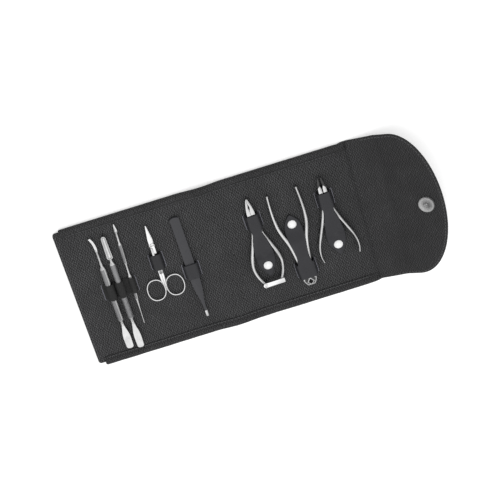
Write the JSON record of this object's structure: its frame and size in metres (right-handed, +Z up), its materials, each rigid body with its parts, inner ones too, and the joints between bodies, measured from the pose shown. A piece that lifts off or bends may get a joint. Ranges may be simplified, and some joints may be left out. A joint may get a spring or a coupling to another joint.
{
  "type": "manicure set case",
  "caption": "Dark pebbled leather manicure case lying open with padded rims and a magnetic snap flap; nippers under strap bands, scissors, tweezers and nail tools in loops.",
  "frame": {"origin": "middle of the open case on the surface that it lies on", "axes": "+X along the open case, from the snap flap towards the panel with the scissors and the long tools; +Y across it, towards the handle ends of two of the nippers; +Z up"},
  "size_m": [0.3776, 0.1604, 0.0351],
  "materials": {
    "case_leather": "matte",
    "flap_leather": "matte",
    "strap_leather": "satin",
    "rim_leather": "matte",
    "board": "matte",
    "padding": "matte",
    "elastic": "matte",
    "snap_cap": "gloss",
    "snap_metal": "satin",
    "magnet_cover": "satin",
    "magnet": "matte",
    "polished_steel": "polished",
    "spring_steel": "satin",
    "tweezer_coating": "satin",
    "tool_steel": "satin"
  },
  "bodies": {
    "middle_panel": {"middle_outer": "case_leather", "middle_board": "board", "middle_lining": "case_leather", "middle_rims": "rim_leather", "band_1": "strap_leather", "band_2": "strap_leather", "band_3": "strap_leather", "strap_studs": "snap_metal"},
    "spine": {"spine_outer": "case_leather", "spine_padding": "padding", "spine_lining": "case_leather", "spine_rims": "rim_leather"},
    "tool_panel": {"tool_panel_outer": "case_leather", "tool_panel_board": "board", "tool_panel_lining": "case_leather", "tool_panel_rims": "rim_leather", "tweezers_loop": "strap_leather", "scissors_loop": "strap_leather", "elastic_loops": "elastic", "snap_post": "snap_metal"},
    "flap_spine": {"flap_spine_outer": "flap_leather", "flap_spine_lining": "flap_leather"},
    "flap": {"flap_outer": "flap_leather", "flap_lining": "flap_leather", "magnet_cover": "magnet_cover", "magnet_ring": "magnet"},
    "strap_1": {"strap_1": "strap_leather", "snap_cap_1": "snap_cap"},
    "nipper_1_a": {"nipper_1_half_a": "polished_steel", "nipper_1_spring_a": "spring_steel", "nipper_1_pin": "polished_steel", "nipper_1_clasp_pin": "polished_steel"},
    "nipper_1_b": {"nipper_1_half_b": "polished_steel", "nipper_1_spring_b": "spring_steel"},
    "strap_2": {"strap_2": "strap_leather", "snap_cap_2": "snap_cap"},
    "nipper_2_a": {"nipper_2_half_a": "polished_steel", "nipper_2_spring_a": "spring_steel", "nipper_2_pin": "polished_steel"},
    "nipper_2_b": {"nipper_2_half_b": "polished_steel", "nipper_2_spring_b": "spring_steel"},
    "strap_3": {"strap_3": "strap_leather", "snap_cap_3": "snap_cap"},
    "nipper_3_a": {"nipper_3_half_a": "polished_steel", "nipper_3_spring_a": "spring_steel", "nipper_3_pin": "polished_steel"},
    "nipper_3_b": {"nipper_3_half_b": "polished_steel", "nipper_3_spring_b": "spring_steel"},
    "nipper_1_clasp": {"nipper_1_clasp": "polished_steel"},
    "scissors_a": {"scissors_half_a": "polished_steel", "scissors_screw": "polished_steel"},
    "scissors_b": {"scissors_half_b": "polished_steel"},
    "tweezers": {"tweezers_lower_arm": "tweezer_coating"},
    "tweezers_upper": {"tweezers_upper_arm": "tweezer_coating"},
    "nail_probe": {"nail_probe": "tool_steel"},
    "cuticle_pusher": {"cuticle_pusher": "tool_steel"},
    "cuticle_scraper": {"cuticle_scraper": "tool_steel"}
  },
  "joints": [
    {"name": "spine_fold", "type": "hinge", "parent": "middle_panel", "child": "spine", "pos_m": [0.03248, 0, 0.0006], "axis": [0, -1, 0], "range_deg": [0, 90]},
    {"name": "tool_panel_fold", "type": "hinge", "parent": "spine", "child": "tool_panel", "pos_m": [0.05648, 0, 0.0006], "axis": [0, -1, 0], "range_deg": [0, 90]},
    {"name": "flap_spine_fold", "type": "hinge", "parent": "middle_panel", "child": "flap_spine", "pos_m": [-0.11242, 0, 0.0006], "axis": [0, 1, 0], "range_deg": [-14, 76]},
    {"name": "flap_fold", "type": "hinge", "parent": "flap_spine", "child": "flap", "pos_m": [-0.13861, 0, 0.00713], "axis": [0, 1, 0], "range_deg": [-14, 76]},
    {"name": "strap_1_fold", "type": "hinge", "parent": "middle_panel", "child": "strap_1", "pos_m": [-0.00357, -0.02015, 0.0123], "axis": [-0.9997, -0.0262, 0], "range_deg": [-110, 0]},
    {"name": "strap_2_fold", "type": "hinge", "parent": "middle_panel", "child": "strap_2", "pos_m": [-0.04066, 0.03175, 0.0123], "axis": [0.9995, 0.0332, 0], "range_deg": [-110, 0]},
    {"name": "strap_3_fold", "type": "hinge", "parent": "middle_panel", "child": "strap_3", "pos_m": [-0.0776, -0.01965, 0.0123], "axis": [-0.9999, -0.0157, 0], "range_deg": [-110, 0]},
    {"name": "nipper_1_a_pivot", "type": "hinge", "parent": "middle_panel", "child": "nipper_1_a", "pos_m": [-0.00337, -0.028, 0.004], "axis": [0, 0, -1], "range_deg": [0, 3]},
    {"name": "nipper_1_b_pivot", "type": "hinge", "parent": "middle_panel", "child": "nipper_1_b", "pos_m": [-0.00337, -0.028, 0.004], "axis": [0, 0, 1], "range_deg": [0, 3]},
    {"name": "nipper_1_clasp_swing", "type": "hinge", "parent": "nipper_1_a", "child": "nipper_1_clasp", "pos_m": [0.00297, 0.04319, 0.0108], "axis": [0, 0, 1], "range_deg": [-110, 0]},
    {"name": "nipper_2_a_pivot", "type": "hinge", "parent": "middle_panel", "child": "nipper_2_a", "pos_m": [-0.04087, 0.038, 0.004], "axis": [0, 0, -1], "range_deg": [0, 4]},
    {"name": "nipper_2_b_pivot", "type": "hinge", "parent": "middle_panel", "child": "nipper_2_b", "pos_m": [-0.04087, 0.038, 0.004], "axis": [0, 0, 1], "range_deg": [0, 4]},
    {"name": "nipper_3_a_pivot", "type": "hinge", "parent": "middle_panel", "child": "nipper_3_a", "pos_m": [-0.07747, -0.028, 0.004], "axis": [0, 0, -1], "range_deg": [-2.5, 1.5], "stiffness_Nm_per_rad": 0.4},
    {"name": "nipper_3_b_pivot", "type": "hinge", "parent": "middle_panel", "child": "nipper_3_b", "pos_m": [-0.07747, -0.028, 0.004], "axis": [0, 0, 1], "range_deg": [-2.5, 1.5]},
    {"name": "scissors_slide", "type": "slide", "parent": "tool_panel", "child": "scissors_a", "axis": [0, 1, 0], "range_m": [-0.006, 0.038]},
    {"name": "scissors_pivot", "type": "hinge", "parent": "scissors_a", "child": "scissors_b", "pos_m": [0.09928, -0.0363, 0.004], "axis": [0, 0, 1], "range_deg": [0, 2.5]},
    {"name": "tweezers_slide", "type": "slide", "parent": "tool_panel", "child": "tweezers", "axis": [-0.0183, 0.9998, 0], "range_m": [-0.004, 0.012]},
    {"name": "tweezers_squeeze", "type": "hinge", "parent": "tweezers", "child": "tweezers_upper", "pos_m": [0.07036, -0.0567, 0.00525], "axis": [-0.9998, -0.0183, 0], "range_deg": [0, 1.55], "stiffness_Nm_per_rad": 3},
    {"name": "nail_probe_slide", "type": "slide", "parent": "tool_panel", "child": "nail_probe", "axis": [0.0279, 0.9996, 0], "range_m": [0, 0.025]},
    {"name": "cuticle_pusher_slide", "type": "slide", "parent": "tool_panel", "child": "cuticle_pusher", "axis": [0, 1, 0], "range_m": [-0.0088, 0.0004]},
    {"name": "cuticle_scraper_slide", "type": "slide", "parent": "tool_panel", "child": "cuticle_scraper", "axis": [0, 1, 0], "range_m": [-0.0068, 0.003]}
  ],
  "couplings": [
    {"joint": "tool_panel_fold", "follows": "spine_fold", "ratio": 1},
    {"joint": "flap_fold", "follows": "flap_spine_fold", "ratio": 1},
    {"joint": "nipper_1_a_pivot", "follows": "nipper_1_clasp_swing", "ratio": -0.02727},
    {"joint": "nipper_1_b_pivot", "follows": "nipper_1_clasp_swing", "ratio": -0.02727},
    {"joint": "nipper_2_b_pivot", "follows": "nipper_2_a_pivot", "ratio": 1},
    {"joint": "nipper_3_b_pivot", "follows": "nipper_3_a_pivot", "ratio": 1}
  ]
}
